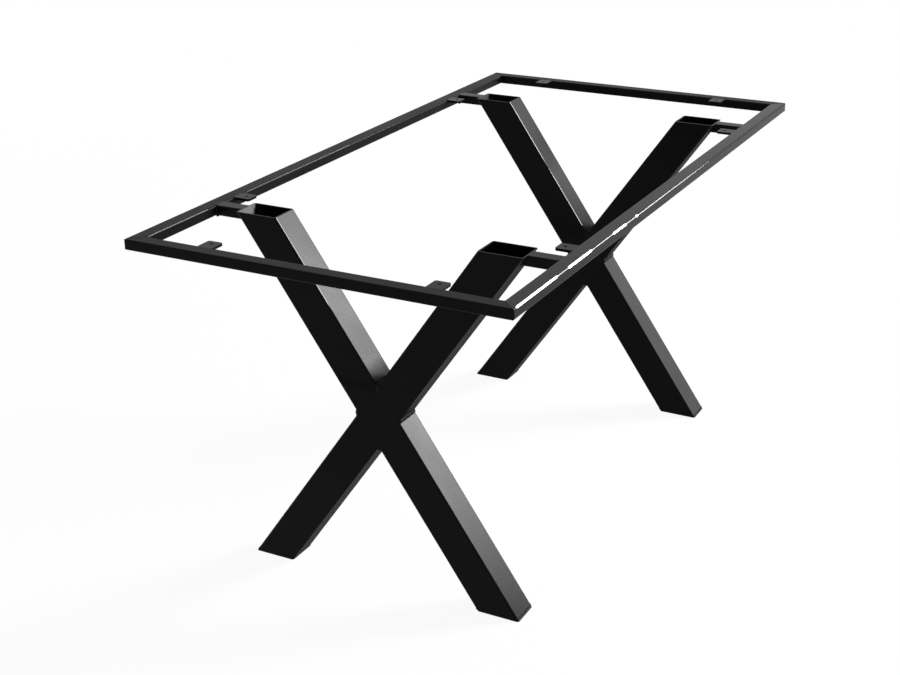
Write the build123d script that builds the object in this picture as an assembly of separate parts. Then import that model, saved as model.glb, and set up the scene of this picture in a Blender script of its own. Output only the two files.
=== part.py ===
from build123d import *
from math import acos, atan2, cos, degrees, hypot, tan
import os

# Welded steel table base: a flat rectangular frame of small tube, carried by two crossed leg sets.
# Units are millimetres. The origin is the middle of the footprint, on the floor.
# X runs along the long rails, +Y is the left side, and +Z is up.

# Overall sizes
FRAME_LENGTH = 1500.0
FRAME_WIDTH = 760.0
BASE_HEIGHT = 720.0

# Frame tube, lying flat: its width is seen from above and its height from the side
RAIL_WIDTH = 30.0
RAIL_HEIGHT = 20.0
RAIL_WALL = 2.0
RAIL_CORNER = 3.0
# Rounding ground on the frame's four outer corners after welding
FRAME_CORNER = 4.0

# Leg tube: its width lies in the plane of the cross, its depth along the long rails
LEG_WIDTH = 72.0
LEG_DEPTH = 63.0
LEG_WALL = 2.5
LEG_CORNER = 4.5

# Places of the leg sets, each measured inwards from the outside of the frame
SET_INSET = 220.0
TOP_INSET = 86.0
FOOT_INSET = 86.0

# Fixing tabs of flat bar, welded inside the frame, flush with its top
TAB_WIDTH = 30.0
TAB_REACH = 32.0
TAB_THICKNESS = 5.0
TAB_CORNER = 4.0
TAB_HOLE = 6.5
TAB_HOLE_REACH = 18.0
# From the outside of the frame to the middle of a tab on a short rail
SHORT_TAB_INSET = 155.0
# Free space between a stub and the tab beside it on a long rail
LONG_TAB_GAP = 29.0

# Plates that close the leg tubes at the floor
FOOT_PLATE = 4.0

# Smallest radius that a bent corner of tube can have on its inside
MIN_INNER_CORNER = 0.5

half_length = FRAME_LENGTH / 2
half_width = FRAME_WIDTH / 2

# The legs lean so that a tube of the stated width just fills the space between its top corner
# on one side and its foot corner on the other: span * cos(lean) - height * sin(lean) = width.
leg_span = FRAME_WIDTH - TOP_INSET - FOOT_INSET
leg_diagonal = hypot(leg_span, BASE_HEIGHT)
lean = acos(LEG_WIDTH / leg_diagonal) - atan2(BASE_HEIGHT, leg_span)
lean_angle = degrees(lean)
leg_cut = LEG_WIDTH / cos(lean)
cross_height = BASE_HEIGHT - (half_width - TOP_INSET - leg_cut / 2) / tan(lean)
set_place = half_length - SET_INSET - LEG_DEPTH / 2
tab_place = set_place - RAIL_WIDTH / 2 - LONG_TAB_GAP - TAB_WIDTH / 2
# Stock length for tube that is cut to size, longer than any piece
stock = 2 * (leg_diagonal + FRAME_LENGTH)


def tube_outline(width, height, corner):
    """Outside of a tube's section."""
    return RectangleRounded(width, height, corner)


def tube_section(width, height, wall, corner):
    """Section of a rectangular tube with bent corners."""
    inner_corner = max(corner - wall, MIN_INNER_CORNER)
    bore = RectangleRounded(width - 2 * wall, height - 2 * wall, inner_corner)
    return tube_outline(width, height, corner) - bore


def slab(low, high):
    """Everything between two heights."""
    return Pos(0, 0, (low + high) / 2) * Box(stock, stock, high - low)


def rail(length, width):
    """One rail with mitred ends, on the +Y side of a frame of this length and width."""
    section = Plane.YZ * tube_section(RAIL_WIDTH, RAIL_HEIGHT, RAIL_WALL, RAIL_CORNER)
    middle = Pos(0, width / 2 - RAIL_WIDTH / 2, BASE_HEIGHT - RAIL_HEIGHT / 2)
    tube = middle * extrude(section, length / 2, both=True)
    outside = length / 2
    inside = length / 2 - RAIL_WIDTH
    mitre = Polygon(
        (-outside, width / 2),
        (-inside, width / 2 - RAIL_WIDTH),
        (inside, width / 2 - RAIL_WIDTH),
        (outside, width / 2),
        align=None,
    )
    dressed = RectangleRounded(length, width, FRAME_CORNER)
    return tube & extrude(mitre, BASE_HEIGHT) & extrude(dressed, BASE_HEIGHT)


def along_leg(side):
    """Middle of the cross, turned so that the leg whose top is on this side runs along Z."""
    return Pos(0, 0, cross_height) * Rot(-side * lean_angle, 0, 0)


def leg_envelope(side):
    """Solid outline of a leg with square edges, for cutting what meets its flanks."""
    return along_leg(side) * Box(2 * LEG_DEPTH, LEG_WIDTH, stock)


def leg_tube(side):
    """Whole leg tube whose top is on this side, cut level under the frame's top and above its plate."""
    section = tube_section(LEG_DEPTH, LEG_WIDTH, LEG_WALL, LEG_CORNER)
    return along_leg(side) * extrude(section, stock / 2, both=True) & slab(FOOT_PLATE, BASE_HEIGHT)


def half_legs(side):
    """The crossing leg in two pieces, each cut to the flank of the leg that runs through."""
    pieces = (leg_tube(side) - leg_envelope(-side)).solids().sort_by(Axis.Z)
    return pieces[0], pieces[-1]


def foot_plate(side):
    """Plate under the foot of the leg whose top is on this side, with the tube's own outline."""
    outline = tube_outline(LEG_DEPTH, LEG_WIDTH, LEG_CORNER)
    return along_leg(side) * extrude(outline, stock / 2, both=True) & slab(0, FOOT_PLATE)


def stub(side):
    """Short piece of frame tube from the long rail on this side to the flank of the leg's top."""
    start = half_width - RAIL_WIDTH
    end = half_width - TOP_INSET - leg_cut / 2
    section = Plane.XZ * tube_section(RAIL_WIDTH, RAIL_HEIGHT, RAIL_WALL, RAIL_CORNER)
    tube = Pos(0, side * (start + end) / 2, BASE_HEIGHT - RAIL_HEIGHT / 2) * extrude(
        section, (start - end) / 2, both=True
    )
    return tube - leg_envelope(side)


def tab():
    """Fixing tab with its root in the middle of the origin's edge, reaching towards +Y, top at zero."""
    plate = Pos(0, TAB_REACH / 2) * Rectangle(TAB_WIDTH, TAB_REACH)
    plate = fillet(plate.vertices().group_by(Axis.Y)[-1], TAB_CORNER)
    plate -= Pos(0, TAB_HOLE_REACH) * Circle(TAB_HOLE / 2)
    return extrude(plate, -TAB_THICKNESS)


parts = {}
SIDES = {"left": 1, "right": -1}
ENDS = {"front": -1, "back": 1}

# Frame: four mitred rails
for side_name, side in SIDES.items():
    parts[f"long_rail_{side_name}"] = Rot(0, 0, 90 - 90 * side) * rail(FRAME_LENGTH, FRAME_WIDTH)
for end_name, end in ENDS.items():
    parts[f"short_rail_{end_name}"] = Rot(0, 0, -90 * end) * rail(FRAME_WIDTH, FRAME_LENGTH)

# Leg sets: one leg runs through from top left to foot right, the other is in two halves
through_leg = leg_tube(SIDES["left"])
lower_half, upper_half = half_legs(SIDES["right"])
for end_name, end in ENDS.items():
    at_set = Pos(end * set_place, 0, 0)
    parts[f"leg_through_{end_name}"] = at_set * through_leg
    parts[f"leg_upper_half_{end_name}"] = at_set * upper_half
    parts[f"leg_lower_half_{end_name}"] = at_set * lower_half
    for side_name, side in SIDES.items():
        parts[f"foot_plate_{end_name}_{side_name}"] = at_set * foot_plate(-side)
        parts[f"stub_{end_name}_{side_name}"] = at_set * stub(side)

# Fixing tabs: two inside each rail
fixing_tab = tab()
for end_name, end in ENDS.items():
    for side_name, side in SIDES.items():
        long_root = Pos(end * tab_place, side * (half_width - RAIL_WIDTH), BASE_HEIGHT)
        short_root = Pos(end * (half_length - RAIL_WIDTH), side * (half_width - SHORT_TAB_INSET), BASE_HEIGHT)
        parts[f"tab_long_{end_name}_{side_name}"] = long_root * Rot(0, 0, 90 + 90 * side) * fixing_tab
        parts[f"tab_short_{end_name}_{side_name}"] = short_root * Rot(0, 0, 90 * end) * fixing_tab

os.makedirs("parts", exist_ok=True)
for name, shape in parts.items():
    export_step(shape, f"parts/{name}.step")
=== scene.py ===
"""Looks of a welded steel table base: a flat frame of small tube on two crossed leg sets.

Everything is in metres, in the frame of the solids: X along the long rails, +Y to the left, +Z up,
with the origin on the floor in the middle of the footprint.
"""

import logging
from collections.abc import Iterable
from dataclasses import dataclass, field, replace
from enum import Enum
from math import acos, atan2, cos, hypot, pi, radians, sin, tan
from typing import Any

import bmesh
import bpy
from mathutils import Matrix, Vector


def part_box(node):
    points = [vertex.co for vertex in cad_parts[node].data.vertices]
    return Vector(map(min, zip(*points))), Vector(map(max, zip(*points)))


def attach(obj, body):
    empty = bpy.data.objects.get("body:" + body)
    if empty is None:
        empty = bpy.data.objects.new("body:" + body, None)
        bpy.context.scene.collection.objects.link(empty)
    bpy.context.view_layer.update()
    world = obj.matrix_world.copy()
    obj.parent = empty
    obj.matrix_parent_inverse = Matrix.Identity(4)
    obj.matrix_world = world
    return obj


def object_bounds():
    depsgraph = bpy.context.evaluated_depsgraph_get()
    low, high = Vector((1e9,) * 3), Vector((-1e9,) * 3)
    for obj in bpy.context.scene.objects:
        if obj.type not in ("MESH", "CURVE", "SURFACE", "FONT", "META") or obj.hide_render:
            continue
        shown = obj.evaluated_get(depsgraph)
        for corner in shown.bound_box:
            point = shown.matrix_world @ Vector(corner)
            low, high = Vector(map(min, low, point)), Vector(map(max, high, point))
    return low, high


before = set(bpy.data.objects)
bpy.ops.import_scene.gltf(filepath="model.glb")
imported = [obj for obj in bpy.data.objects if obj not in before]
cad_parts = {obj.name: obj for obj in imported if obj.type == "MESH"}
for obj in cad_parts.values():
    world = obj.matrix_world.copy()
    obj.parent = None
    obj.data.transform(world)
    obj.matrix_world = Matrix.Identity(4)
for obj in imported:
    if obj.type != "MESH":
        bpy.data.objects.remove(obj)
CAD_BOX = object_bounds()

log = logging.getLogger("table_base")

MM = 0.001
# A direction or a place, as its parts along X, Y and Z
Triple = tuple[float, float, float]
UP = Vector((0.0, 0.0, 1.0))
FRONTWARD = Vector((-1.0, 0.0, 0.0))


class End(Enum):
    """The two ends of the base, with the sign of their X."""

    FRONT = -1
    BACK = 1

    @property
    def word(self) -> str:
        """The end's word in the names of its pieces."""
        return self.name.lower()


class Side(Enum):
    """The two long sides of the base, with the sign of their Y."""

    LEFT = 1
    RIGHT = -1

    @property
    def word(self) -> str:
        """The side's word in the names of its pieces."""
        return self.name.lower()


def linear(hex_colour: str) -> tuple[float, float, float, float]:
    """Turns an sRGB colour into the linear values that a shader takes.

    Args:
        hex_colour: The colour as "#rrggbb".

    Returns:
        Red, green, blue and an alpha of one.
    """
    channels = [int(hex_colour[place : place + 2], 16) / 255 for place in (1, 3, 5)]
    red, green, blue = (c / 12.92 if c <= 0.04045 else ((c + 0.055) / 1.055) ** 2.4 for c in channels)
    return red, green, blue, 1.0


def add_node(
    tree: bpy.types.NodeTree,
    kind: str,
    settings: dict[str, Any] | None = None,
    inputs: dict[str | int, Any] | None = None,
) -> bpy.types.Node:
    """Adds one node, sets its options, and fills or links its sockets.

    Args:
        tree: The tree that gets the node.
        kind: Blender's type name of the node.
        settings: The node's own options by name.
        inputs: Values or output sockets, by the input's name or number.

    Returns:
        The new node.
    """
    node = tree.nodes.new(kind)
    for name, value in (settings or {}).items():
        setattr(node, name, value)
    for key, value in (inputs or {}).items():
        if isinstance(value, bpy.types.NodeSocket):
            tree.links.new(value, node.inputs[key])
        else:
            node.inputs[key].default_value = value
    return node


def new_material(name: str) -> tuple[bpy.types.Material, bpy.types.NodeTree]:
    """Starts a material with an empty tree.

    Args:
        name: The material's name.

    Returns:
        The material and its tree.
    """
    material = bpy.data.materials.new(name)
    material.use_nodes = True
    material.node_tree.nodes.clear()
    return material, material.node_tree


def link_object(name: str, data: bpy.types.ID) -> bpy.types.Object:
    """Puts a mesh, a lamp or a camera into the scene as an object at the origin.

    Args:
        name: The object's name.
        data: What it shows. A mesh has its place in its vertices.

    Returns:
        The new object.
    """
    added = bpy.data.objects.new(name, data)
    bpy.context.scene.collection.objects.link(added)
    return added


def finish_piece(piece: bpy.types.Object) -> None:
    """Ties a finished piece of the base to its body, and logs how many faces it has.

    Args:
        piece: The piece.
    """
    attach(piece, "root")
    log.info("%s: %d faces", piece.name, len(piece.data.polygons))


@dataclass(frozen=True)
class GleamRun:
    """A stretch of an arris that shines, from one place along it to another, with its reach."""

    start: float
    end: float
    reach: float


@dataclass(frozen=True)
class Arris:
    """A rounded edge where two faces meet, with the stretches of it that shine.

    The film is thin and glossy there, so that it gives back the window as a fine bright line. Each
    face is given by the way that it looks and how far out it lies, and a stretch reaches as far as
    the distances inside both faces add up to.
    """

    faces: tuple[tuple[Triple, float], ...]
    along: Triple
    runs: tuple[GleamRun, ...]
    # The way that the film faces over the rounding
    facing: Triple = (-0.07, -0.83, 0.55)
    # A stretch narrows to a point over this length at both ends
    taper: float = 10 * MM
    # Its edges fade over this distance to either side
    fade: float = 0.3 * MM

    def gloss(
        self, tree: bpy.types.NodeTree, place: bpy.types.NodeSocket
    ) -> tuple[bpy.types.NodeSocket, bpy.types.NodeSocket]:
        """Marks the shining stretches.

        Args:
            tree: The material's tree.
            place: Object coordinates.

        Returns:
            The share of clear gloss, and the way that it faces.
        """
        depths = {}
        for number, (way, level) in enumerate(self.faces):
            inside = {0: level, 1: self._measure(tree, place, way)}
            depth = add_node(tree, "ShaderNodeMath", {"operation": "SUBTRACT"}, inside)
            depths[number] = depth.outputs["Value"]
        away = add_node(tree, "ShaderNodeMath", {"operation": "ADD"}, depths).outputs["Value"]
        along = self._measure(tree, place, self.along)
        total = self._mark(tree, along, away, self.runs[0])
        for run in self.runs[1:]:
            marks = {0: total, 1: self._mark(tree, along, away, run)}
            total = add_node(tree, "ShaderNodeMath", {"operation": "MAXIMUM"}, marks).outputs["Value"]
        facing = add_node(tree, "ShaderNodeCombineXYZ", inputs=dict(zip("XYZ", self.facing)))
        return total, facing.outputs["Vector"]

    def _measure(
        self, tree: bpy.types.NodeTree, place: bpy.types.NodeSocket, way: Triple
    ) -> bpy.types.NodeSocket:
        """Gives how far a place is out along a way, from the origin."""
        measure = add_node(tree, "ShaderNodeVectorMath", {"operation": "DOT_PRODUCT"}, {0: place, 1: way})
        return measure.outputs["Value"]

    def _mark(
        self,
        tree: bpy.types.NodeTree,
        along: bpy.types.NodeSocket,
        away: bpy.types.NodeSocket,
        run: GleamRun,
    ) -> bpy.types.NodeSocket:
        """Marks one shining stretch.

        Args:
            tree: The material's tree.
            along: The place along the arris.
            away: How far a place is from the arris, added up over both faces.
            run: The stretch.

        Returns:
            One inside the stretch, nought outside.
        """
        middle, half = (run.start + run.end) / 2, (run.end - run.start) / 2
        offset = add_node(tree, "ShaderNodeMath", {"operation": "SUBTRACT"}, {0: along, 1: middle})
        span = add_node(tree, "ShaderNodeMath", {"operation": "ABSOLUTE"}, {0: offset.outputs["Value"]})
        taper = {"Value": span.outputs["Value"], "From Min": half - self.taper, "From Max": half}
        taper |= {"To Min": run.reach, "To Max": 0.0}
        width = add_node(tree, "ShaderNodeMapRange", inputs=taper).outputs["Result"]
        inside = add_node(tree, "ShaderNodeMath", {"operation": "SUBTRACT"}, {0: width, 1: away})
        edge = {"Value": inside.outputs["Value"], "From Min": -self.fade, "From Max": self.fade}
        return add_node(tree, "ShaderNodeMapRange", inputs=edge).outputs["Result"]


@dataclass(frozen=True)
class PowderCoat:
    """Satin black powder coat, sprayed and baked on steel tube.

    To the eye it is nearly black, with a soft sheen that brightens at low angles. Close to, it has
    the faint orange peel of a baked coat, and its gloss drifts a little where the film is thicker.
    """

    name: str = "powder_coat_satin_black"
    colour: str = "#040405"
    thick_film_colour: str = "#070708"
    roughness: float = 0.28
    roughness_drift: float = 0.05
    specular_level: float = 0.06
    # The fine texture scatters the sheen of a face that is seen almost from its edge
    low_angle: tuple[float, float] = (0.79, 0.87)
    low_angle_roughness: float = 0.4
    # Orange peel is about 2.4 mm from crest to crest
    peel_mm: float = 2.4
    peel_depth_mm: float = 0.013
    # Drift of the film's thickness along a tube
    drift_mm: float = 110.0
    # Nearly all of a noise lies between these
    noise_span: tuple[float, float] = (0.3, 0.7)
    # The film is thin and smooth over a shining arris
    arris_roughness: float = 0.12
    # Fine pits and dust under the film, drawn as coarse as shows in the picture
    grain_mm: float = 0.9
    grain_depth_mm: float = 0.004

    def coordinates(self, tree: bpy.types.NodeTree) -> bpy.types.NodeSocket:
        """Gives the place on the object, in metres."""
        return add_node(tree, "ShaderNodeTexCoord").outputs["Object"]

    def noise(
        self, tree: bpy.types.NodeTree, place: bpy.types.NodeSocket, size_mm: float, detail: float
    ) -> bpy.types.NodeSocket:
        """Makes a noise of this size from crest to crest, with this many finer layers on it."""
        inputs = {"Vector": place, "Scale": 1 / (size_mm * MM), "Detail": detail, "Roughness": 0.5}
        return add_node(tree, "ShaderNodeTexNoise", inputs=inputs).outputs["Fac"]

    def surface_bump(self, tree: bpy.types.NodeTree, place: bpy.types.NodeSocket) -> bpy.types.NodeSocket:
        """Lays orange peel and grain over the surface.

        Args:
            tree: The material's tree.
            place: Object coordinates.

        Returns:
            The bent normal.
        """
        peel = self.noise(tree, place, self.peel_mm, 1.0)
        rough = {"Height": peel, "Distance": self.peel_depth_mm * MM, "Strength": 1.0}
        peel_normal = add_node(tree, "ShaderNodeBump", inputs=rough).outputs["Normal"]
        grain = self.noise(tree, place, self.grain_mm, 2.0)
        fine = {
            "Height": grain,
            "Distance": self.grain_depth_mm * MM,
            "Strength": 1.0,
            "Normal": peel_normal,
        }
        return add_node(tree, "ShaderNodeBump", inputs=fine).outputs["Normal"]

    def film(
        self, tree: bpy.types.NodeTree, place: bpy.types.NodeSocket
    ) -> tuple[bpy.types.NodeSocket, bpy.types.NodeSocket]:
        """Gives the colour and roughness that drift with the film's thickness.

        Args:
            tree: The material's tree.
            place: Object coordinates.

        Returns:
            The colour and the roughness.
        """
        drift = self.noise(tree, place, self.drift_mm, 2.0)
        spread = {"Value": drift, "From Min": self.noise_span[0], "From Max": self.noise_span[1]}
        thickness = add_node(tree, "ShaderNodeMapRange", inputs=spread).outputs["Result"]
        # A mix of colours takes them at inputs 6 and 7, and gives theirs at output 2
        tints = {0: thickness, 6: linear(self.colour), 7: linear(self.thick_film_colour)}
        colour = add_node(tree, "ShaderNodeMix", {"data_type": "RGBA"}, tints).outputs[2]
        half_drift = self.roughness_drift / 2
        spread |= {"To Min": self.roughness - half_drift, "To Max": self.roughness + half_drift}
        plain = add_node(tree, "ShaderNodeMapRange", inputs=spread).outputs["Result"]
        facing = add_node(tree, "ShaderNodeLayerWeight", inputs={"Blend": 0.5}).outputs["Facing"]
        turned = {"Value": facing, "From Min": self.low_angle[0], "From Max": self.low_angle[1]}
        turned["To Max"] = self.low_angle_roughness
        scatter = add_node(tree, "ShaderNodeMapRange", inputs=turned).outputs["Result"]
        total = add_node(tree, "ShaderNodeMath", {"operation": "ADD"}, {0: plain, 1: scatter})
        return colour, total.outputs["Value"]

    def build(self) -> bpy.types.Material:
        """Builds the plain coat.

        Returns:
            The material.
        """
        material, tree = new_material(self.name)
        place = self.coordinates(tree)
        colour, roughness = self.film(tree, place)
        self.shade(tree, colour, roughness, self.surface_bump(tree, place))
        return material

    def shade(
        self,
        tree: bpy.types.NodeTree,
        colour: bpy.types.NodeSocket,
        roughness: bpy.types.NodeSocket,
        normal: bpy.types.NodeSocket,
        gloss: tuple[bpy.types.NodeSocket, bpy.types.NodeSocket] | None = None,
    ) -> None:
        """Ends the tree in its shader.

        Args:
            tree: The material's tree.
            colour: Base colour.
            roughness: Roughness.
            normal: Bent normal.
            gloss: How much clear gloss lies on top, and the way that it faces, if any.
        """
        inputs: dict[str | int, Any] = {
            "Base Color": colour,
            "Roughness": roughness,
            "Normal": normal,
            "Specular IOR Level": self.specular_level,
        }
        if gloss is not None:
            share, facing = gloss
            inputs |= {"Coat Weight": share, "Coat Roughness": self.arris_roughness, "Coat Normal": facing}
        shader = add_node(tree, "ShaderNodeBsdfPrincipled", inputs=inputs)
        add_node(tree, "ShaderNodeOutputMaterial", inputs={"Surface": shader.outputs["BSDF"]})


@dataclass(frozen=True)
class WeldBead:
    """One kind of weld run, laid as overlapping ripples.

    A hand-held torch leaves a row of small half-moon ripples, a little uneven, and the coat rounds
    them over.
    """

    name: str
    width: float
    rise: float
    pitch: float = 1.9 * MM
    ripple_length: float = 4.2 * MM
    # Degrees by which a ripple leans back on the last one
    lean: float = 14.0
    # Each ripple is larger or smaller than the plain size by up to this share
    unevenness: float = 0.09
    seed: int = 3


@dataclass
class Seam:
    """The path of one weld run, with the way that its face looks at each point."""

    points: list[tuple[Vector, Vector]] = field(default_factory=list)
    closed: bool = False

    def add(self, place: Vector, outward: Vector) -> None:
        """Adds the next point of the path."""
        self.points.append((place, outward.normalized()))


class BeadTree:
    """Geometry Nodes that lay ripples along the seams of a mesh of edges."""

    SIZES = ("Ripple pitch", "Ripple length", "Bead width", "Bead rise", "Ripple lean", "Unevenness")
    # Each ripple is a squashed ball with this many sides and rings
    BALL = {"Segments": 8, "Rings": 6, "Radius": 1.0}

    def __init__(self, material: bpy.types.Material) -> None:
        """Builds the tree.

        Args:
            material: The finish that the tree sets.
        """
        self.tree = bpy.data.node_groups.new("weld_bead", "GeometryNodeTree")
        self.sockets: dict[str, str] = {}
        face = self.tree.interface
        face.new_socket(name="Seams", in_out="INPUT", socket_type="NodeSocketGeometry")
        for size in self.SIZES:
            socket = face.new_socket(name=size, in_out="INPUT", socket_type="NodeSocketFloat")
            self.sockets[size] = socket.identifier
        seed = face.new_socket(name="Seed", in_out="INPUT", socket_type="NodeSocketInt")
        self.sockets["Seed"] = seed.identifier
        face.new_socket(name="Bead", in_out="OUTPUT", socket_type="NodeSocketGeometry")
        self._wire(material)

    def _wire(self, material: bpy.types.Material) -> None:
        """Adds and links the nodes.

        Args:
            material: The finish that the tree sets.
        """
        tree = self.tree
        given = add_node(tree, "NodeGroupInput").outputs
        curve = add_node(tree, "GeometryNodeMeshToCurve", inputs={"Mesh": given["Seams"]})
        stations = add_node(
            tree,
            "GeometryNodeResampleCurve",
            {"mode": "LENGTH"},
            {"Curve": curve.outputs["Curve"], "Length": given["Ripple pitch"]},
        )
        ball = add_node(tree, "GeometryNodeMeshUVSphere", inputs=self.BALL)
        ripple = add_node(tree, "GeometryNodeSetShadeSmooth", inputs={"Geometry": ball.outputs["Mesh"]})
        placed = add_node(
            tree,
            "GeometryNodeInstanceOnPoints",
            inputs={
                "Points": stations.outputs["Curve"],
                "Instance": ripple.outputs["Geometry"],
                "Rotation": self._stance(given),
                "Scale": self._size(given),
            },
        )
        loose = {"Geometry": placed.outputs["Instances"]}
        real = add_node(tree, "GeometryNodeRealizeInstances", inputs=loose)
        coated = add_node(
            tree,
            "GeometryNodeSetMaterial",
            inputs={"Geometry": real.outputs["Geometry"], "Material": material},
        )
        add_node(tree, "NodeGroupOutput", inputs={"Bead": coated.outputs["Geometry"]})

    def _stance(self, given: Any) -> bpy.types.NodeSocket:
        """Turns each ripple so that it faces outward, lies along the seam and leans back on the last.

        Args:
            given: The group's inputs.

        Returns:
            The rotation of each ripple.
        """
        tree = self.tree
        outward = add_node(
            tree,
            "GeometryNodeInputNamedAttribute",
            {"data_type": "FLOAT_VECTOR"},
            {"Name": "outward"},
        )
        facing = add_node(
            tree,
            "FunctionNodeAlignRotationToVector",
            {"axis": "Z"},
            {"Vector": outward.outputs["Attribute"]},
        )
        tangent = add_node(tree, "GeometryNodeInputTangent")
        along = add_node(
            tree,
            "FunctionNodeAlignRotationToVector",
            {"axis": "X", "pivot_axis": "Z"},
            {"Rotation": facing.outputs["Rotation"], "Vector": tangent.outputs["Tangent"]},
        )
        angles = add_node(tree, "ShaderNodeCombineXYZ", inputs={"Y": given["Ripple lean"]})
        turn = add_node(tree, "FunctionNodeEulerToRotation", inputs={"Euler": angles.outputs["Vector"]})
        leaning = add_node(
            tree,
            "FunctionNodeRotateRotation",
            {"rotation_space": "LOCAL"},
            {"Rotation": along.outputs["Rotation"], "Rotate By": turn.outputs["Rotation"]},
        )
        return leaning.outputs["Rotation"]

    def _size(self, given: Any) -> bpy.types.NodeSocket:
        """Sizes each ripple, a little unevenly.

        Args:
            given: The group's inputs.

        Returns:
            The scale of each ripple, whose ball has a radius of one.
        """
        tree = self.tree
        least, most = (
            add_node(tree, "ShaderNodeMath", {"operation": operation}, {0: 1.0, 1: given["Unevenness"]})
            for operation in ("SUBTRACT", "ADD")
        )
        # A random number takes its limits at inputs 2 and 3, and comes out at output 1
        chance = add_node(
            tree,
            "FunctionNodeRandomValue",
            {"data_type": "FLOAT"},
            {2: least.outputs["Value"], 3: most.outputs["Value"], "Seed": given["Seed"]},
        )
        half_length, half_width = (
            add_node(tree, "ShaderNodeMath", {"operation": "MULTIPLY"}, {0: given[size], 1: 0.5})
            for size in ("Ripple length", "Bead width")
        )
        radii = {"X": half_length.outputs["Value"], "Y": half_width.outputs["Value"], "Z": given["Bead rise"]}
        plain = add_node(tree, "ShaderNodeCombineXYZ", inputs=radii)
        uneven = add_node(
            tree,
            "ShaderNodeVectorMath",
            {"operation": "SCALE"},
            {0: plain.outputs["Vector"], "Scale": chance.outputs[1]},
        )
        return uneven.outputs["Vector"]

    def lay(self, bead: WeldBead, seams: Iterable[Seam]) -> bpy.types.Object:
        """Lays one kind of bead along its seams, as a plain mesh.

        Args:
            bead: The bead's sizes.
            seams: The paths.

        Returns:
            The finished piece.
        """
        piece = link_object(bead.name, self._path_mesh(bead.name, seams))
        modifier = piece.modifiers.new("weld_bead", "NODES")
        modifier.node_group = self.tree
        sizes = (bead.pitch, bead.ripple_length, bead.width, bead.rise, radians(bead.lean), bead.unevenness)
        for size, value in zip(self.SIZES, sizes):
            modifier[self.sockets[size]] = value
        modifier[self.sockets["Seed"]] = bead.seed
        piece.update_tag()
        evaluated = piece.evaluated_get(bpy.context.evaluated_depsgraph_get())
        mesh = bpy.data.meshes.new_from_object(evaluated)
        piece.modifiers.remove(modifier)
        piece.data = mesh
        return piece

    def _path_mesh(self, name: str, seams: Iterable[Seam]) -> bpy.types.Mesh:
        """Makes a mesh of edges from the seams, which carries each point's outward way.

        Args:
            name: The mesh's name.
            seams: The paths.

        Returns:
            The mesh.
        """
        places: list[Vector] = []
        outward: list[Vector] = []
        edges: list[tuple[int, int]] = []
        for seam in seams:
            first = len(places)
            places += [place for place, _ in seam.points]
            outward += [way for _, way in seam.points]
            last = len(places) - 1
            edges += [(index, index + 1) for index in range(first, last)]
            if seam.closed:
                edges.append((last, first))
        mesh = bpy.data.meshes.new(f"{name}_seams")
        mesh.from_pydata(places, edges, [])
        ways = mesh.attributes.new("outward", "FLOAT_VECTOR", "POINT")
        ways.data.foreach_set("vector", [value for way in outward for value in way])
        return mesh


def skin_rings(mesh: bmesh.types.BMesh, rings: list[list[bmesh.types.BMVert]]) -> None:
    """Closes a row of equal rings into a solid.

    Args:
        mesh: The mesh that holds the rings.
        rings: The rings in order, each with its corners in the same order.
    """
    count = len(rings[0])
    for ring, following in zip(rings, rings[1:]):
        for index in range(count):
            beyond = (index + 1) % count
            mesh.faces.new((ring[index], ring[beyond], following[beyond], following[index]))
    mesh.faces.new(rings[0])
    mesh.faces.new(reversed(rings[-1]))


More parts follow.
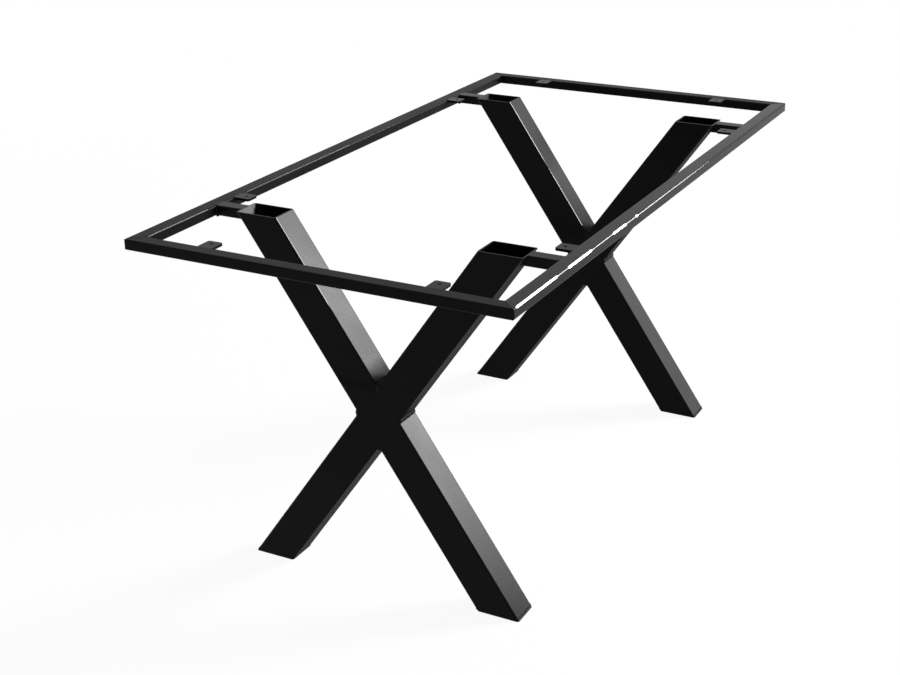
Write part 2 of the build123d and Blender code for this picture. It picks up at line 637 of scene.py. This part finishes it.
@dataclass(frozen=True)
class DressedFill:
    """Weld metal that fills a groove and is ground flush with the faces beside it.

    The section is given as (out of the face, across the seam), and the groove is a tube's rounded
    corner of the stated radius, beside a square-cut end.
    """

    # Radius of the corner, rise over the faces, and how far the metal laps over them
    radius: float
    crown: float
    margin: float = 1.2 * MM
    # The outer edges lie this far under the faces, and the laps are this thick
    feather: float = 0.06 * MM
    lap: float = 0.9 * MM
    # The crown's middle and far edge, in shares of the radius, and how much higher the middle is
    crown_middle: float = 0.45
    crown_edge: float = 0.9
    swell: float = 1.6
    # Two buried corners of its root, with their depths in shares of the radius. The first stands
    # off the square-cut end by a share of the radius, and the second by a hair
    root_depths: tuple[float, float] = (0.62, 0.93)
    root_share: float = 0.32
    root_hair: float = 0.02 * MM
    # Rings along the fill
    steps: int = 14
    # Grinding by hand leaves the crown uneven by this share, in two waves along the fill whose
    # turns are given in radians, and which shift from one place to the next
    unevenness: float = 0.25
    waves: tuple[float, float] = (5.1, 11.0)
    wave_shift: float = 40.0

    @classmethod
    def flush(cls, radius: float) -> "DressedFill":
        """A narrow fill that is ground just under the faces."""
        return cls(radius, crown=-0.03 * MM, margin=0.5 * MM)

    def section(self) -> list[tuple[float, float]]:
        """Gives the fill's outline, round from the square-cut side.

        Returns:
            The corners, each as its distance out of the face and across the seam.
        """
        deep, edge = self.radius, self.margin
        near_root, far_root = self.root_depths
        return [
            (-self.feather, -edge),
            (self.crown, 0.0),
            (self.crown * self.swell, deep * self.crown_middle),
            (self.crown, deep * self.crown_edge),
            (-self.feather, deep + edge),
            (-self.lap, deep + edge),
            (-deep * near_root, deep * self.root_share),
            (-deep * far_root, self.root_hair),
            (-self.lap, -edge),
        ]

    def add_to(
        self, mesh: bmesh.types.BMesh, start: Vector, end: Vector, out: Vector, across: Vector
    ) -> None:
        """Adds one filled groove.

        Args:
            mesh: The mesh that gets it.
            start: Where the seam starts, on the faces' level.
            end: Where it ends.
            out: The way that the faces look.
            across: The way from the square-cut end towards the rounded corner.
        """
        slow, fast = self.waves
        shift = self.wave_shift * start.length
        rings = []
        for step in range(self.steps + 1):
            share = step / self.steps
            wave = 1 + self.unevenness * sin(slow * share + shift) * sin(fast * share)
            centre = start.lerp(end, share)
            ring = [
                mesh.verts.new(centre + out * (u * wave if u > 0 else u) + across * v)
                for u, v in self.section()
            ]
            rings.append(ring)
        skin_rings(mesh, rings)


@dataclass(frozen=True)
class FlatEnd:
    """A flat end that is welded to a face, level with the top of the frame."""

    # Middle of the end's upper edge, the way along that edge, and the way that the face looks
    root: Vector
    along: Vector
    face: Vector
    half_width: float
    depth: float
    # The weld comes up an edge to this far below the top
    seam_start: float = 3.2 * MM
    # It goes round to the underside within this distance of the corner
    seam_turn: float = 2.5 * MM
    # There it looks sideways and out of the face by these shares of how much it looks down
    turn_shares: tuple[float, float] = (0.5, 0.7)

    def seam(self) -> Seam:
        """Gives the weld round the end: down one edge, along under it, and up the other.

        Returns:
            The seam's path.
        """
        # The way down the face, for each metre of height
        down = self.along.cross(self.face)
        down /= -down.z
        turn = min(self.seam_turn, (self.depth - self.seam_start) / 2)
        to_edge, out = self.turn_shares
        seam = Seam()
        for sign in (-1, 1):
            edge = self.along * sign
            column = [
                (self.half_width, self.seam_start, edge + self.face),
                (self.half_width, self.depth - turn, edge + self.face),
                (self.half_width - turn, self.depth, edge * to_edge + self.face * out - UP),
            ]
            for across, depth, outward in column if sign < 0 else reversed(column):
                seam.add(self.root + edge * across + down * depth, outward)
        return seam

    def fill(self, mesh: bmesh.types.BMesh, rail_corner: float, inset: float) -> None:
        """Fills the groove between the end and a rail's rounded edge, flush on top.

        Args:
            mesh: The mesh that gets the metal.
            rail_corner: Radius of the rail's edge.
            inset: How far the metal stops inside the end's own edges.
        """
        reach = self.along * (self.half_width - inset)
        metal = DressedFill.flush(rail_corner)
        metal.add_to(mesh, self.root - reach, self.root + reach, UP, -self.face)


@dataclass
class RectFrame:
    """The flat frame: four mitred rails with eight fixing tabs."""

    rail_width: float = 30 * MM
    rail_height: float = 20 * MM
    rail_corner: float = 3 * MM
    # The outer arris of the right rail shines in broad strokes with a hairline between them
    right_gleam: tuple[GleamRun, ...] = (
        GleamRun(start=-0.746, end=-0.573, reach=2.7 * MM),
        GleamRun(start=-0.542, end=-0.428, reach=2.8 * MM),
        GleamRun(start=-0.343, end=-0.266, reach=2.6 * MM),
        GleamRun(start=-0.233, end=-0.207, reach=2.6 * MM),
        GleamRun(start=-0.746, end=0.2, reach=1.65 * MM),
    )
    # The inner arris of the left rail shines in a hairline that fades towards the back
    left_gleam: tuple[GleamRun, ...] = (
        GleamRun(start=-0.725, end=-0.53, reach=1.58 * MM),
        GleamRun(start=-0.42, end=-0.02, reach=1.54 * MM),
        GleamRun(start=-0.42, end=0.2, reach=1.49 * MM),
    )
    # The coat is duller on three rails and glossier on the right one
    dull_roughness: float = 0.46
    right_roughness: float = 0.22
    # Half the width of the band that is ground along each mitre, and where it has faded out
    mitre_band: tuple[float, float] = (1.5 * MM, 5.0 * MM)
    # What grinding adds to the roughness, and the size and depth of its marks
    ground_roughness: float = 0.08
    ground_mark_mm: float = 5.0
    ground_mark_depth: float = 0.12 * MM
    # The fill at a tab's root stops this far inside the tab's edges
    tab_fill_inset: float = 0.3 * MM

    def __post_init__(self) -> None:
        """Takes the frame's outside from the solids."""
        self.half_length = CAD_BOX[1][0]
        self.half_width = CAD_BOX[1][1]
        self.top = CAD_BOX[1][2]
        self.inner_x = self.half_length - self.rail_width
        self.inner_y = self.half_width - self.rail_width

    def tab_ends(self) -> list[FlatEnd]:
        """Gives the ends of the tabs at the rails.

        Returns:
            The ends.
        """
        ends = []
        for end in End:
            for side in Side:
                low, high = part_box(f"tab_long_{end.word}_{side.word}")
                root = Vector(((low.x + high.x) / 2, side.value * self.inner_y, self.top))
                face = Vector((0, -side.value, 0))
                ends.append(FlatEnd(root, Vector((1, 0, 0)), face, (high.x - low.x) / 2, high.z - low.z))
                low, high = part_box(f"tab_short_{end.word}_{side.word}")
                root = Vector((end.value * self.inner_x, (low.y + high.y) / 2, self.top))
                face = Vector((-end.value, 0, 0))
                ends.append(FlatEnd(root, Vector((0, 1, 0)), face, (high.y - low.y) / 2, high.z - low.z))
        return ends

    def tab_seams(self) -> list[Seam]:
        """Welds under and beside the tabs."""
        return [tab.seam() for tab in self.tab_ends()]

    def mitre_seams(self) -> list[Seam]:
        """Gives the welds up the four inner corners of the frame.

        Returns:
            The seams.
        """
        seams = []
        for end in End:
            for side in Side:
                inward = Vector((-end.value, -side.value, 0))
                corner = Vector((end.value * self.inner_x, side.value * self.inner_y, self.top))
                seam = Seam()
                for depth in (self.rail_corner, self.rail_height / 2, self.rail_height - self.rail_corner):
                    seam.add(corner - UP * depth, inward)
                seams.append(seam)
        return seams

    def fill_roots(self, mesh: bmesh.types.BMesh) -> None:
        """Fills the grooves between the rails' rounded inner edges and the tabs, flush on top."""
        for tab in self.tab_ends():
            tab.fill(mesh, self.rail_corner, self.tab_fill_inset)

    def rail_material(self, coat: PowderCoat, arris: Arris | None) -> bpy.types.Material:
        """The coat on a rail, with its mitres ground flush.

        Args:
            coat: The coat that it is based on.
            arris: A shining arris, if there is one.

        Returns:
            The material.
        """
        material, tree = new_material(coat.name)
        place = coat.coordinates(tree)
        colour, roughness = coat.film(tree, place)
        normal = coat.surface_bump(tree, place)
        axes = add_node(tree, "ShaderNodeSeparateXYZ", inputs={"Vector": place}).outputs
        band = self._mitre_band(tree, axes)
        ground = {0: band, 1: self.ground_roughness, 2: roughness}
        softened = add_node(tree, "ShaderNodeMath", {"operation": "MULTIPLY_ADD"}, ground)
        marks = {"Height": coat.noise(tree, place, self.ground_mark_mm, 1.0), "Strength": band}
        marks |= {"Distance": self.ground_mark_depth, "Normal": normal}
        normal = add_node(tree, "ShaderNodeBump", inputs=marks).outputs["Normal"]
        gloss = arris.gloss(tree, place) if arris else None
        coat.shade(tree, colour, softened.outputs["Value"], normal, gloss)
        return material

    def _mitre_band(self, tree: bpy.types.NodeTree, axes: Any) -> bpy.types.NodeSocket:
        """Marks a narrow band along each mitre.

        Args:
            tree: The material's tree.
            axes: Object coordinates, one by one.

        Returns:
            One on the mitre, nought a few millimetres from it.
        """
        off_end = self._distance_inside(tree, axes["X"], self.half_length)
        off_side = self._distance_inside(tree, axes["Y"], self.half_width)
        apart = add_node(tree, "ShaderNodeMath", {"operation": "SUBTRACT"}, {0: off_end, 1: off_side})
        span = add_node(tree, "ShaderNodeMath", {"operation": "ABSOLUTE"}, {0: apart.outputs["Value"]})
        limits = {"Value": span.outputs["Value"], "To Min": 1.0, "To Max": 0.0}
        limits |= {"From Min": self.mitre_band[0], "From Max": self.mitre_band[1]}
        return add_node(tree, "ShaderNodeMapRange", inputs=limits).outputs["Result"]

    def _distance_inside(
        self, tree: bpy.types.NodeTree, axis: bpy.types.NodeSocket, half: float
    ) -> bpy.types.NodeSocket:
        """How far a place is inside the outer face on one axis.

        Args:
            tree: The material's tree.
            axis: The coordinate.
            half: Half of the frame's size on that axis.

        Returns:
            The distance in metres.
        """
        size = add_node(tree, "ShaderNodeMath", {"operation": "ABSOLUTE"}, {0: axis}).outputs["Value"]
        inside = add_node(tree, "ShaderNodeMath", {"operation": "SUBTRACT"}, {0: half, 1: size})
        return inside.outputs["Value"]

    def long_arris(self, y: float, runs: tuple[GleamRun, ...]) -> Arris:
        """The upper edge of a long rail on its -Y side, which lies at this Y."""
        return Arris((((0, -1, 0), -y), ((0, 0, 1), self.top)), (1, 0, 0), runs)

    def dress(self, coat: PowderCoat) -> None:
        """Gives the rails their finish.

        Args:
            coat: The coat that it is based on.
        """
        dull = replace(coat, name=f"{coat.name}_rails", roughness=self.dull_roughness)
        left = replace(dull, name=f"{coat.name}_left_rail")
        right = replace(coat, name=f"{coat.name}_right_rail", roughness=self.right_roughness)
        plain = self.rail_material(dull, None)
        for end in End:
            assign(f"short_rail_{end.word}", plain)
        inner_arris = self.long_arris(self.inner_y, self.left_gleam)
        assign("long_rail_left", self.rail_material(left, inner_arris))
        outer_arris = self.long_arris(-self.half_width, self.right_gleam)
        assign("long_rail_right", self.rail_material(right, outer_arris))


@dataclass(frozen=True)
class Crotch:
    """An inner corner of the cross.

    It opens outward from its tip, with a flank at the angle of spread on either side, and weld metal
    reaches along each flank as far as its fill.
    """

    tip: Vector
    out: Vector
    across: Vector
    spread: float
    fill: float
    # Height of the weld metal's middle over its edges, as a share of its reach
    crown: float = 0.08
    # Points over its face, from one flank at minus one to the other at one
    steps: tuple[float, ...] = (-1.0, -0.8, -0.4, 0.0, 0.4, 0.8, 1.0)
    # How far the metal reaches into the steel behind the tip
    root: float = 3 * MM

    @property
    def bed(self) -> Vector:
        """The middle of the weld metal, level with its edges, where its ripples lie."""
        return self.tip + self.out * (self.fill * cos(self.spread))

    def arc(self, middle: Vector, span: float, sag: float) -> list[Vector]:
        """Gives the weld metal's face from one flank over to the other.

        Args:
            middle: The tip's place at this depth.
            span: How far the metal reaches along each flank.
            sag: How far the flanks have fallen away here.

        Returns:
            The points, with a slight crown.
        """
        out = span * cos(self.spread) - sag * sin(self.spread)
        half = span * sin(self.spread) + sag * cos(self.spread)
        return [
            middle + self.out * (out + self.crown * span * (1 - step**2)) + self.across * (half * step)
            for step in self.steps
        ]


@dataclass(frozen=True)
class LegFinish:
    """How the coat of a through leg looks, with its shining arris and the steel that the torch dulled."""

    roughness: float
    # The arris between flank and front shines in a fine line, from this height up to the top
    gleam_from: float
    gleam_reach: float
    gleam_facing: Triple
    # The steel above the crossing is dull over this height, and a little below it
    dull_reach: float
    low_dull_share: float
    dull_roughness: float = 0.36
    # Heights under the crossing's upper corner between which the dull share comes in
    low_dull_span: tuple[float, float] = (30 * MM, 5 * MM)
    # Degrees from the flank towards the front at which the rounding turns from bright to dark
    gleam_turn: float = 30.0


FRONT_FINISH = LegFinish(
    roughness=0.28,
    gleam_from=0.56,
    gleam_reach=0.2 * MM,
    gleam_facing=(-0.07, -0.83, 0.55),
    dull_reach=40 * MM,
    low_dull_share=0.0,
)
BACK_FINISH = LegFinish(
    roughness=0.34,
    gleam_from=0.42,
    gleam_reach=0.22 * MM,
    gleam_facing=(-0.12, -0.82, 0.56),
    dull_reach=150 * MM,
    low_dull_share=0.4,
)


@dataclass
class LegSet:
    """One crossed pair of legs with its stubs and foot plates."""

    end: End
    finish: LegFinish
    tube_width: float = 72 * MM
    tube_depth: float = 63 * MM
    tube_corner: float = 4.5 * MM
    stub_width: float = 30 * MM
    stub_height: float = 20 * MM
    # Steps of the weld round each bent corner of a foot
    corner_steps: int = 3
    # How far the weld metal reaches along each flank from the corners of the cross
    right_fill: float = 5 * MM
    left_fill: float = 9 * MM
    end_fill: float = 8 * MM
    # How it rounds over at both faces: depth under the face, and share of its full reach
    fill_rounding: tuple[tuple[float, float], ...] = (
        (-0.4 * MM, 0.3),
        (-0.25 * MM, 0.52),
        (0.3 * MM, 0.72),
        (1.2 * MM, 0.86),
        (2.6 * MM, 0.95),
        (4.5 * MM, 1.0),
    )
    # Rise of the ground fills on the faces, and how far they stop short of the corners' tips
    face_fill_crown: float = 0.12 * MM
    face_fill_margin: float = 1.5 * MM

    def __post_init__(self) -> None:
        """Works out the lean and the crossing from the solids."""
        through_low, through_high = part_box(f"leg_through_{self.end.word}")
        plate_low, plate_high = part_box(f"foot_plate_{self.end.word}_{Side.RIGHT.word}")
        self.place = (through_low.x + through_high.x) / 2
        self.top = through_high.z
        self.plate = plate_high.z
        span = through_high.y - plate_low.y
        self.lean = acos(self.tube_width / hypot(span, self.top)) - atan2(self.top, span)
        self.cut = self.tube_width / cos(self.lean)
        self.flank_top = through_high.y
        self.cross_height = self.top - (through_high.y - self.cut / 2) / tan(self.lean)
        self.rail_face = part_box(f"stub_{self.end.word}_{Side.LEFT.word}")[1].y

    def at(self, x: float, y: float, z: float) -> Vector:
        """A point of the set, with X from the middle of the legs' depth."""
        return Vector((self.place + x, y, z))

    def crotches(self) -> list[Crotch]:
        """Gives the four inner corners of the cross.

        Returns:
            The corners at the right, the left, the top and the bottom.
        """
        half = self.tube_width / 2
        beside, above = half / cos(self.lean), half / sin(self.lean)
        centre = self.at(0, 0, self.cross_height)
        level = Vector((0, 1, 0))
        wide, narrow = pi / 2 - self.lean, self.lean
        return [
            Crotch(centre - level * beside, -level, UP, wide, self.right_fill),
            Crotch(centre + level * beside, level, UP, wide, self.left_fill),
            Crotch(centre + UP * above, UP, level, narrow, self.end_fill),
            Crotch(centre - UP * above, -UP, level, narrow, self.end_fill),
        ]

    def crotch_seams(self) -> list[Seam]:
        """Gives a run of ripples over the fill in each corner of the cross.

        Returns:
            The seams.
        """
        seams = []
        reach = FRONTWARD * (self.tube_depth / 2 - self.tube_corner)
        for crotch in self.crotches():
            seams.append(Seam([(crotch.bed + reach, crotch.out), (crotch.bed - reach, crotch.out)]))
        return seams

    def stub_ends(self, side: Side) -> tuple[FlatEnd, FlatEnd]:
        """Gives both ends of a stub.

        Args:
            side: The stub's side.

        Returns:
            The end at the rail, and the slanted one on the leg's flank.
        """
        along = Vector((1, 0, 0))
        inward = Vector((0, -side.value, 0))
        flank = Vector((0, side.value * cos(self.lean), -sin(self.lean)))
        at_rail = self.at(0, side.value * self.rail_face, self.top)
        at_flank = self.at(0, side.value * self.flank_top, self.top)
        return (
            FlatEnd(at_rail, along, inward, self.stub_width / 2, self.stub_height),
            FlatEnd(at_flank, along, flank, self.stub_width / 2, self.stub_height),
        )

    def stub_seams(self) -> list[Seam]:
        """Welds round both ends of the two stubs."""
        return [stub.seam() for side in Side for stub in self.stub_ends(side)]

    def foot_seams(self) -> list[Seam]:
        """Gives the welds round the foot plates, just above the floor.

        Returns:
            The seams.
        """
        seams = []
        drop = (self.cross_height - self.plate) * tan(self.lean)
        for side in Side:
            seam = Seam(closed=True)
            for quarter in range(4):
                across = 1 if quarter in (0, 3) else -1
                over = 1 if quarter in (0, 1) else -1
                for step in range(self.corner_steps + 1):
                    angle = (quarter + step / self.corner_steps) * pi / 2
                    way = Vector((cos(angle), sin(angle), 0))
                    x = across * (self.tube_depth / 2 - self.tube_corner) + way.x * self.tube_corner
                    y = over * (self.cut / 2 - self.tube_corner) + way.y * self.tube_corner
                    seam.add(self.at(x, side.value * drop + y, self.plate), way)
            seams.append(seam)
        return seams

    def dress(self, coat: PowderCoat) -> None:
        """Gives the through leg its finish, with the shining arris between its flank and its front.

        Args:
            coat: The coat that it is based on.
        """
        coat = replace(coat, roughness=self.finish.roughness)
        flank = Vector((0, -cos(self.lean), sin(self.lean)))
        turn = radians(self.finish.gleam_turn)
        beside = flank * cos(turn) + FRONTWARD * sin(turn)
        # The rounding's own middle line, measured out along the flank's way and frontward
        flank_out = self.tube_width / 2 + self.cross_height * sin(self.lean) - self.tube_corner
        front_out = self.tube_depth / 2 - self.place - self.tube_corner
        beside_level = flank_out * cos(turn) + front_out * sin(turn) + self.tube_corner
        faces = ((tuple(flank), flank_out + self.tube_corner), (tuple(beside), beside_level))
        # The run goes on past the top by the length over which it narrows
        run = GleamRun(self.finish.gleam_from, self.top + Arris.taper, self.finish.gleam_reach)
        arris = Arris(faces, (0, 0, 1), (run,), self.finish.gleam_facing)
        material, tree = new_material(f"{coat.name}_{self.end.word}_leg")
        place = coat.coordinates(tree)
        colour, roughness = coat.film(tree, place)
        layers = {0: roughness, 1: self._dulled(tree, place)}
        total = add_node(tree, "ShaderNodeMath", {"operation": "ADD"}, layers).outputs["Value"]
        coat.shade(tree, colour, total, coat.surface_bump(tree, place), arris.gloss(tree, place))
        assign(f"leg_through_{self.end.word}", material)

    def _dulled(self, tree: bpy.types.NodeTree, place: bpy.types.NodeSocket) -> bpy.types.NodeSocket:
        """Gives the roughness that the torch leaves on the steel just above the crossing.

        Args:
            tree: The material's tree.
            place: Object coordinates.

        Returns:
            The roughness to add.
        """
        height = add_node(tree, "ShaderNodeSeparateXYZ", inputs={"Vector": place}).outputs["Z"]
        corner = self.cross_height + self.tube_width / 2 / sin(self.lean)
        fading = {"Value": height, "From Min": corner + self.finish.dull_reach, "From Max": corner}
        fading["To Max"] = self.finish.dull_roughness
        above = add_node(tree, "ShaderNodeMapRange", inputs=fading).outputs["Result"]
        low, high = self.finish.low_dull_span
        rising = {"Value": height, "From Min": corner - low, "From Max": corner - high}
        rising["To Min"] = self.finish.low_dull_share
        covered = add_node(tree, "ShaderNodeMapRange", inputs=rising).outputs["Result"]
        product = add_node(tree, "ShaderNodeMath", {"operation": "MULTIPLY"}, {0: above, 1: covered})
        return product.outputs["Value"]

    def fill_faces(self, mesh: bmesh.types.BMesh) -> None:
        """Fills the grooves where the half legs meet the through leg on the front and back faces.

        Args:
            mesh: The mesh that gets them.
        """
        fill = DressedFill(self.tube_corner, self.face_fill_crown)
        across = Vector((0, cos(self.lean), -sin(self.lean)))
        right, left, top, bottom = (crotch.tip for crotch in self.crotches())
        for hand, near, far in ((1, right, top), (-1, left, bottom)):
            run = (far - near).normalized() * self.face_fill_margin
            for face in (-1, 1):
                level = Vector((face * self.tube_depth / 2, 0, 0))
                out = Vector((face, 0, 0))
                fill.add_to(mesh, near + run + level, far - run + level, out, across * hand)

    def fill_crotches(self, mesh: bmesh.types.BMesh) -> None:
        """Fills the inner corners of the cross with weld metal, rounded over at both faces.

        Args:
            mesh: The mesh that gets it.
        """
        half, corner = self.tube_depth / 2, self.tube_corner
        # For each ring its place from the middle of the depth, and its share of the full reach
        stations = [(half - depth, share) for depth, share in self.fill_rounding]
        stations += [(-place, share) for place, share in reversed(stations)]
        for crotch in self.crotches():
            rings = []
            for place, share in stations:
                # The tube's bent corner falls away from the flank towards its face
                past = min(max(abs(place) - half + corner, 0.0), corner)
                sag = corner - (corner**2 - past**2) ** 0.5
                middle = crotch.tip + Vector((place, 0, 0))
                ring = [middle - crotch.out * (crotch.root + sag)]
                ring += crotch.arc(middle, crotch.fill * share, sag)
                rings.append([mesh.verts.new(point) for point in ring])
            skin_rings(mesh, rings)

    def fill_stubs(self, mesh: bmesh.types.BMesh, rail_corner: float) -> None:
        """Fills the grooves between the stubs and the rails' rounded edges, flush on top.

        Args:
            mesh: The mesh that gets them.
            rail_corner: Radius of the rails' edges.
        """
        for side in Side:
            at_rail, _ = self.stub_ends(side)
            at_rail.fill(mesh, rail_corner, rail_corner)


def assign(node: str, material: bpy.types.Material) -> None:
    """Gives one of the solids its finish, in each of its material slots.

    Args:
        node: The solid's name.
        material: The finish.
    """
    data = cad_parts[node].data
    if not data.materials:
        data.materials.append(material)
    for index in range(len(data.materials)):
        data.materials[index] = material


@dataclass(frozen=True)
class Viewpoint:
    """The place and lens of the camera."""

    place: Triple = (-2.71792, -1.30137, 1.56651)
    # Degrees from +X towards +Y, below the level, and clockwise about the line of sight
    bearing: float = 27.69
    dip: float = 22.356
    bank: float = 0.385
    focal_px: float = 1508.82
    picture_px: float = 900.0
    sensor_mm: float = 36.0
    far_limit: float = 200.0

    def build(self) -> None:
        """Puts the camera in its place and makes it the scene's own."""
        yaw, pitch, roll = radians(self.bearing), radians(self.dip), radians(self.bank)
        ahead = Vector((cos(yaw) * cos(pitch), sin(yaw) * cos(pitch), -sin(pitch)))
        level = Vector((sin(yaw), -cos(yaw), 0))
        down = ahead.cross(level)
        right = level * cos(roll) + down * sin(roll)
        below = down * cos(roll) - level * sin(roll)
        data = bpy.data.cameras.new("camera")
        data.sensor_fit = "HORIZONTAL"
        data.sensor_width = self.sensor_mm
        data.lens = self.focal_px * self.sensor_mm / self.picture_px
        data.clip_end = self.far_limit
        camera = link_object("camera", data)
        turn = Matrix((right, -below, -ahead)).transposed().to_4x4()
        camera.matrix_world = Matrix.Translation(Vector(self.place)) @ turn
        bpy.context.scene.camera = camera


@dataclass(frozen=True)
class Softbox:
    """A soft rectangular lamp that looks at a point of the base."""

    name: str
    # Degrees from +X towards +Y, and above the level, as seen from the target
    bearing: float
    rise: float
    distance: float
    width: float
    height: float
    radiance: float
    target: Triple = (0.0, 0.0, 0.4)

    def build(self) -> None:
        """Hangs the lamp."""
        yaw, pitch = radians(self.bearing), radians(self.rise)
        way = Vector((cos(yaw) * cos(pitch), sin(yaw) * cos(pitch), sin(pitch)))
        data = bpy.data.lights.new(self.name, "AREA")
        data.shape = "RECTANGLE"
        data.size = self.width
        data.size_y = self.height
        # A flat lamp sends out its radiance times pi times its area
        data.energy = self.radiance * pi * self.width * self.height
        lamp = link_object(self.name, data)
        lamp.location = Vector(self.target) + way * self.distance
        lamp.rotation_euler = way.to_track_quat("Z", "Y").to_euler()


@dataclass(frozen=True)
class Studio:
    """White studio: pale floor, white surroundings and one soft lamp."""

    floor_radius: float = 30.0
    floor_edges: int = 64
    # The floor lies this far below the foot plates
    floor_gap: float = 0.2 * MM
    floor_colour: str = "#f2f2f2"
    floor_glow: float = 0.93
    # The floor goes over into plain white between these distances from its middle
    shadow_reach: tuple[float, float] = (1.8, 3.6)
    surround_strength: float = 0.35
    lamp: Softbox = Softbox(
        "window_softbox", bearing=-40.5, rise=22.7, distance=10.0, width=3.3, height=4.2, radiance=50.0
    )

    def build(self) -> None:
        """Builds the floor, the surroundings and the lamp."""
        self._floor()
        self._surroundings()
        self.lamp.build()
        bpy.context.scene.view_settings.view_transform = "Standard"

    def _seen_share(self, tree: bpy.types.NodeTree) -> bpy.types.NodeSocket:
        """Tells what is seen from the light that scatters.

        Args:
            tree: The material's or world's tree.

        Returns:
            One for what the camera, gloss or glass sees, and nought for other light.
        """
        path = add_node(tree, "ShaderNodeLightPath").outputs
        share = path["Is Camera Ray"]
        for kind in ("Is Glossy Ray", "Is Transmission Ray"):
            either = add_node(tree, "ShaderNodeMath", {"operation": "MAXIMUM"}, {0: share, 1: path[kind]})
            share = either.outputs["Value"]
        return share

    def _floor(self) -> None:
        """Lays the floor, a hair below the foot plates."""
        mesh = bpy.data.meshes.new("floor")
        angles = (2 * pi * edge / self.floor_edges for edge in range(self.floor_edges))
        radius, level = self.floor_radius, -self.floor_gap
        ring = [(radius * cos(angle), radius * sin(angle), level) for angle in angles]
        mesh.from_pydata(ring, [], [tuple(range(self.floor_edges))])
        floor = link_object("floor", mesh)
        material, tree = new_material("matt_white_floor")
        matt = add_node(tree, "ShaderNodeBsdfDiffuse", inputs={"Color": linear(self.floor_colour)})
        glow = add_node(tree, "ShaderNodeEmission", inputs={"Color": linear("#ffffff"), "Strength": 1.0})
        place = add_node(tree, "ShaderNodeTexCoord").outputs["Object"]
        away = add_node(tree, "ShaderNodeVectorMath", {"operation": "LENGTH"}, {0: place}).outputs["Value"]
        fade = {"Value": away, "From Min": self.shadow_reach[0], "From Max": self.shadow_reach[1]}
        fade |= {"To Min": self.floor_glow, "To Max": 1.0}
        whiteness = add_node(tree, "ShaderNodeMapRange", inputs=fade).outputs["Result"]
        seen = {0: self._seen_share(tree), 1: whiteness}
        share = add_node(tree, "ShaderNodeMath", {"operation": "MULTIPLY"}, seen)
        layers = {0: share.outputs["Value"], 1: matt.outputs["BSDF"], 2: glow.outputs["Emission"]}
        mixed = add_node(tree, "ShaderNodeMixShader", inputs=layers)
        add_node(tree, "ShaderNodeOutputMaterial", inputs={"Surface": mixed.outputs["Shader"]})
        mesh.materials.append(material)

    def _surroundings(self) -> None:
        """Makes the surroundings white to the eye and in reflections, and gentler as a light."""
        world = bpy.data.worlds.new("studio_world")
        world.use_nodes = True
        tree = world.node_tree
        tree.nodes.clear()
        span = {"Value": self._seen_share(tree), "To Min": self.surround_strength, "To Max": 1.0}
        level = add_node(tree, "ShaderNodeMapRange", inputs=span).outputs["Result"]
        white = {"Color": linear("#ffffff"), "Strength": level}
        light = add_node(tree, "ShaderNodeBackground", inputs=white)
        add_node(tree, "ShaderNodeOutputWorld", inputs={"Surface": light.outputs["Background"]})
        bpy.context.scene.world = world


@dataclass(frozen=True)
class Welds:
    """All the welds of the base: a piece for each kind of run, and one for the fills."""

    crosses: WeldBead = WeldBead("weld_crosses", width=6 * MM, rise=1.4 * MM)
    stubs: WeldBead = WeldBead("weld_stubs", width=6 * MM, rise=2.6 * MM, seed=7)
    tabs: WeldBead = WeldBead("weld_tabs", width=5 * MM, rise=2.0 * MM, seed=9)
    mitres: WeldBead = WeldBead("weld_mitres", width=5 * MM, rise=2.0 * MM, seed=11)
    foot_plates: WeldBead = WeldBead(
        "weld_foot_plates",
        width=3 * MM,
        rise=0.5 * MM,
        pitch=2.4 * MM,
        ripple_length=5.5 * MM,
        lean=4.0,
        seed=13,
    )

    def build(self, material: bpy.types.Material, rect: RectFrame, sets: list[LegSet]) -> None:
        """Lays the runs and then the fills.

        Args:
            material: The base's coat, which the welds wear too.
            rect: The flat frame.
            sets: The two leg sets.
        """
        tree = BeadTree(material)
        runs = (
            (self.crosses, [seam for legs in sets for seam in legs.crotch_seams()]),
            (self.stubs, [seam for legs in sets for seam in legs.stub_seams()]),
            (self.tabs, rect.tab_seams()),
            (self.mitres, rect.mitre_seams()),
            (self.foot_plates, [seam for legs in sets for seam in legs.foot_seams()]),
        )
        for bead, seams in runs:
            finish_piece(tree.lay(bead, seams))
        finish_piece(self._fills(material, rect, sets))

    def _fills(
        self, material: bpy.types.Material, rect: RectFrame, sets: list[LegSet]
    ) -> bpy.types.Object:
        """Makes the weld metal that fills grooves and corners.

        Args:
            material: The base's coat.
            rect: The flat frame.
            sets: The two leg sets.

        Returns:
            The finished piece.
        """
        mesh = bmesh.new()
        rect.fill_roots(mesh)
        for legs in sets:
            legs.fill_faces(mesh)
            legs.fill_crotches(mesh)
            legs.fill_stubs(mesh, rect.rail_corner)
        bmesh.ops.recalc_face_normals(mesh, faces=mesh.faces)
        data = bpy.data.meshes.new("dressed_fills")
        mesh.to_mesh(data)
        mesh.free()
        data.shade_smooth()
        data.materials.append(material)
        return link_object("dressed_fills", data)


def main() -> None:
    """Builds the looks of the base and its studio, in order."""
    logging.basicConfig(level=logging.INFO, format="%(name)s: %(message)s")
    coat = PowderCoat()
    plain = coat.build()
    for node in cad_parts:
        assign(node, plain)
    rect = RectFrame()
    rect.dress(coat)
    sets = [LegSet(End.FRONT, FRONT_FINISH), LegSet(End.BACK, BACK_FINISH)]
    for legs in sets:
        legs.dress(coat)
    Welds().build(plain, rect, sets)
    Studio().build()
    Viewpoint().build()


if __name__ == "__main__":
    main()
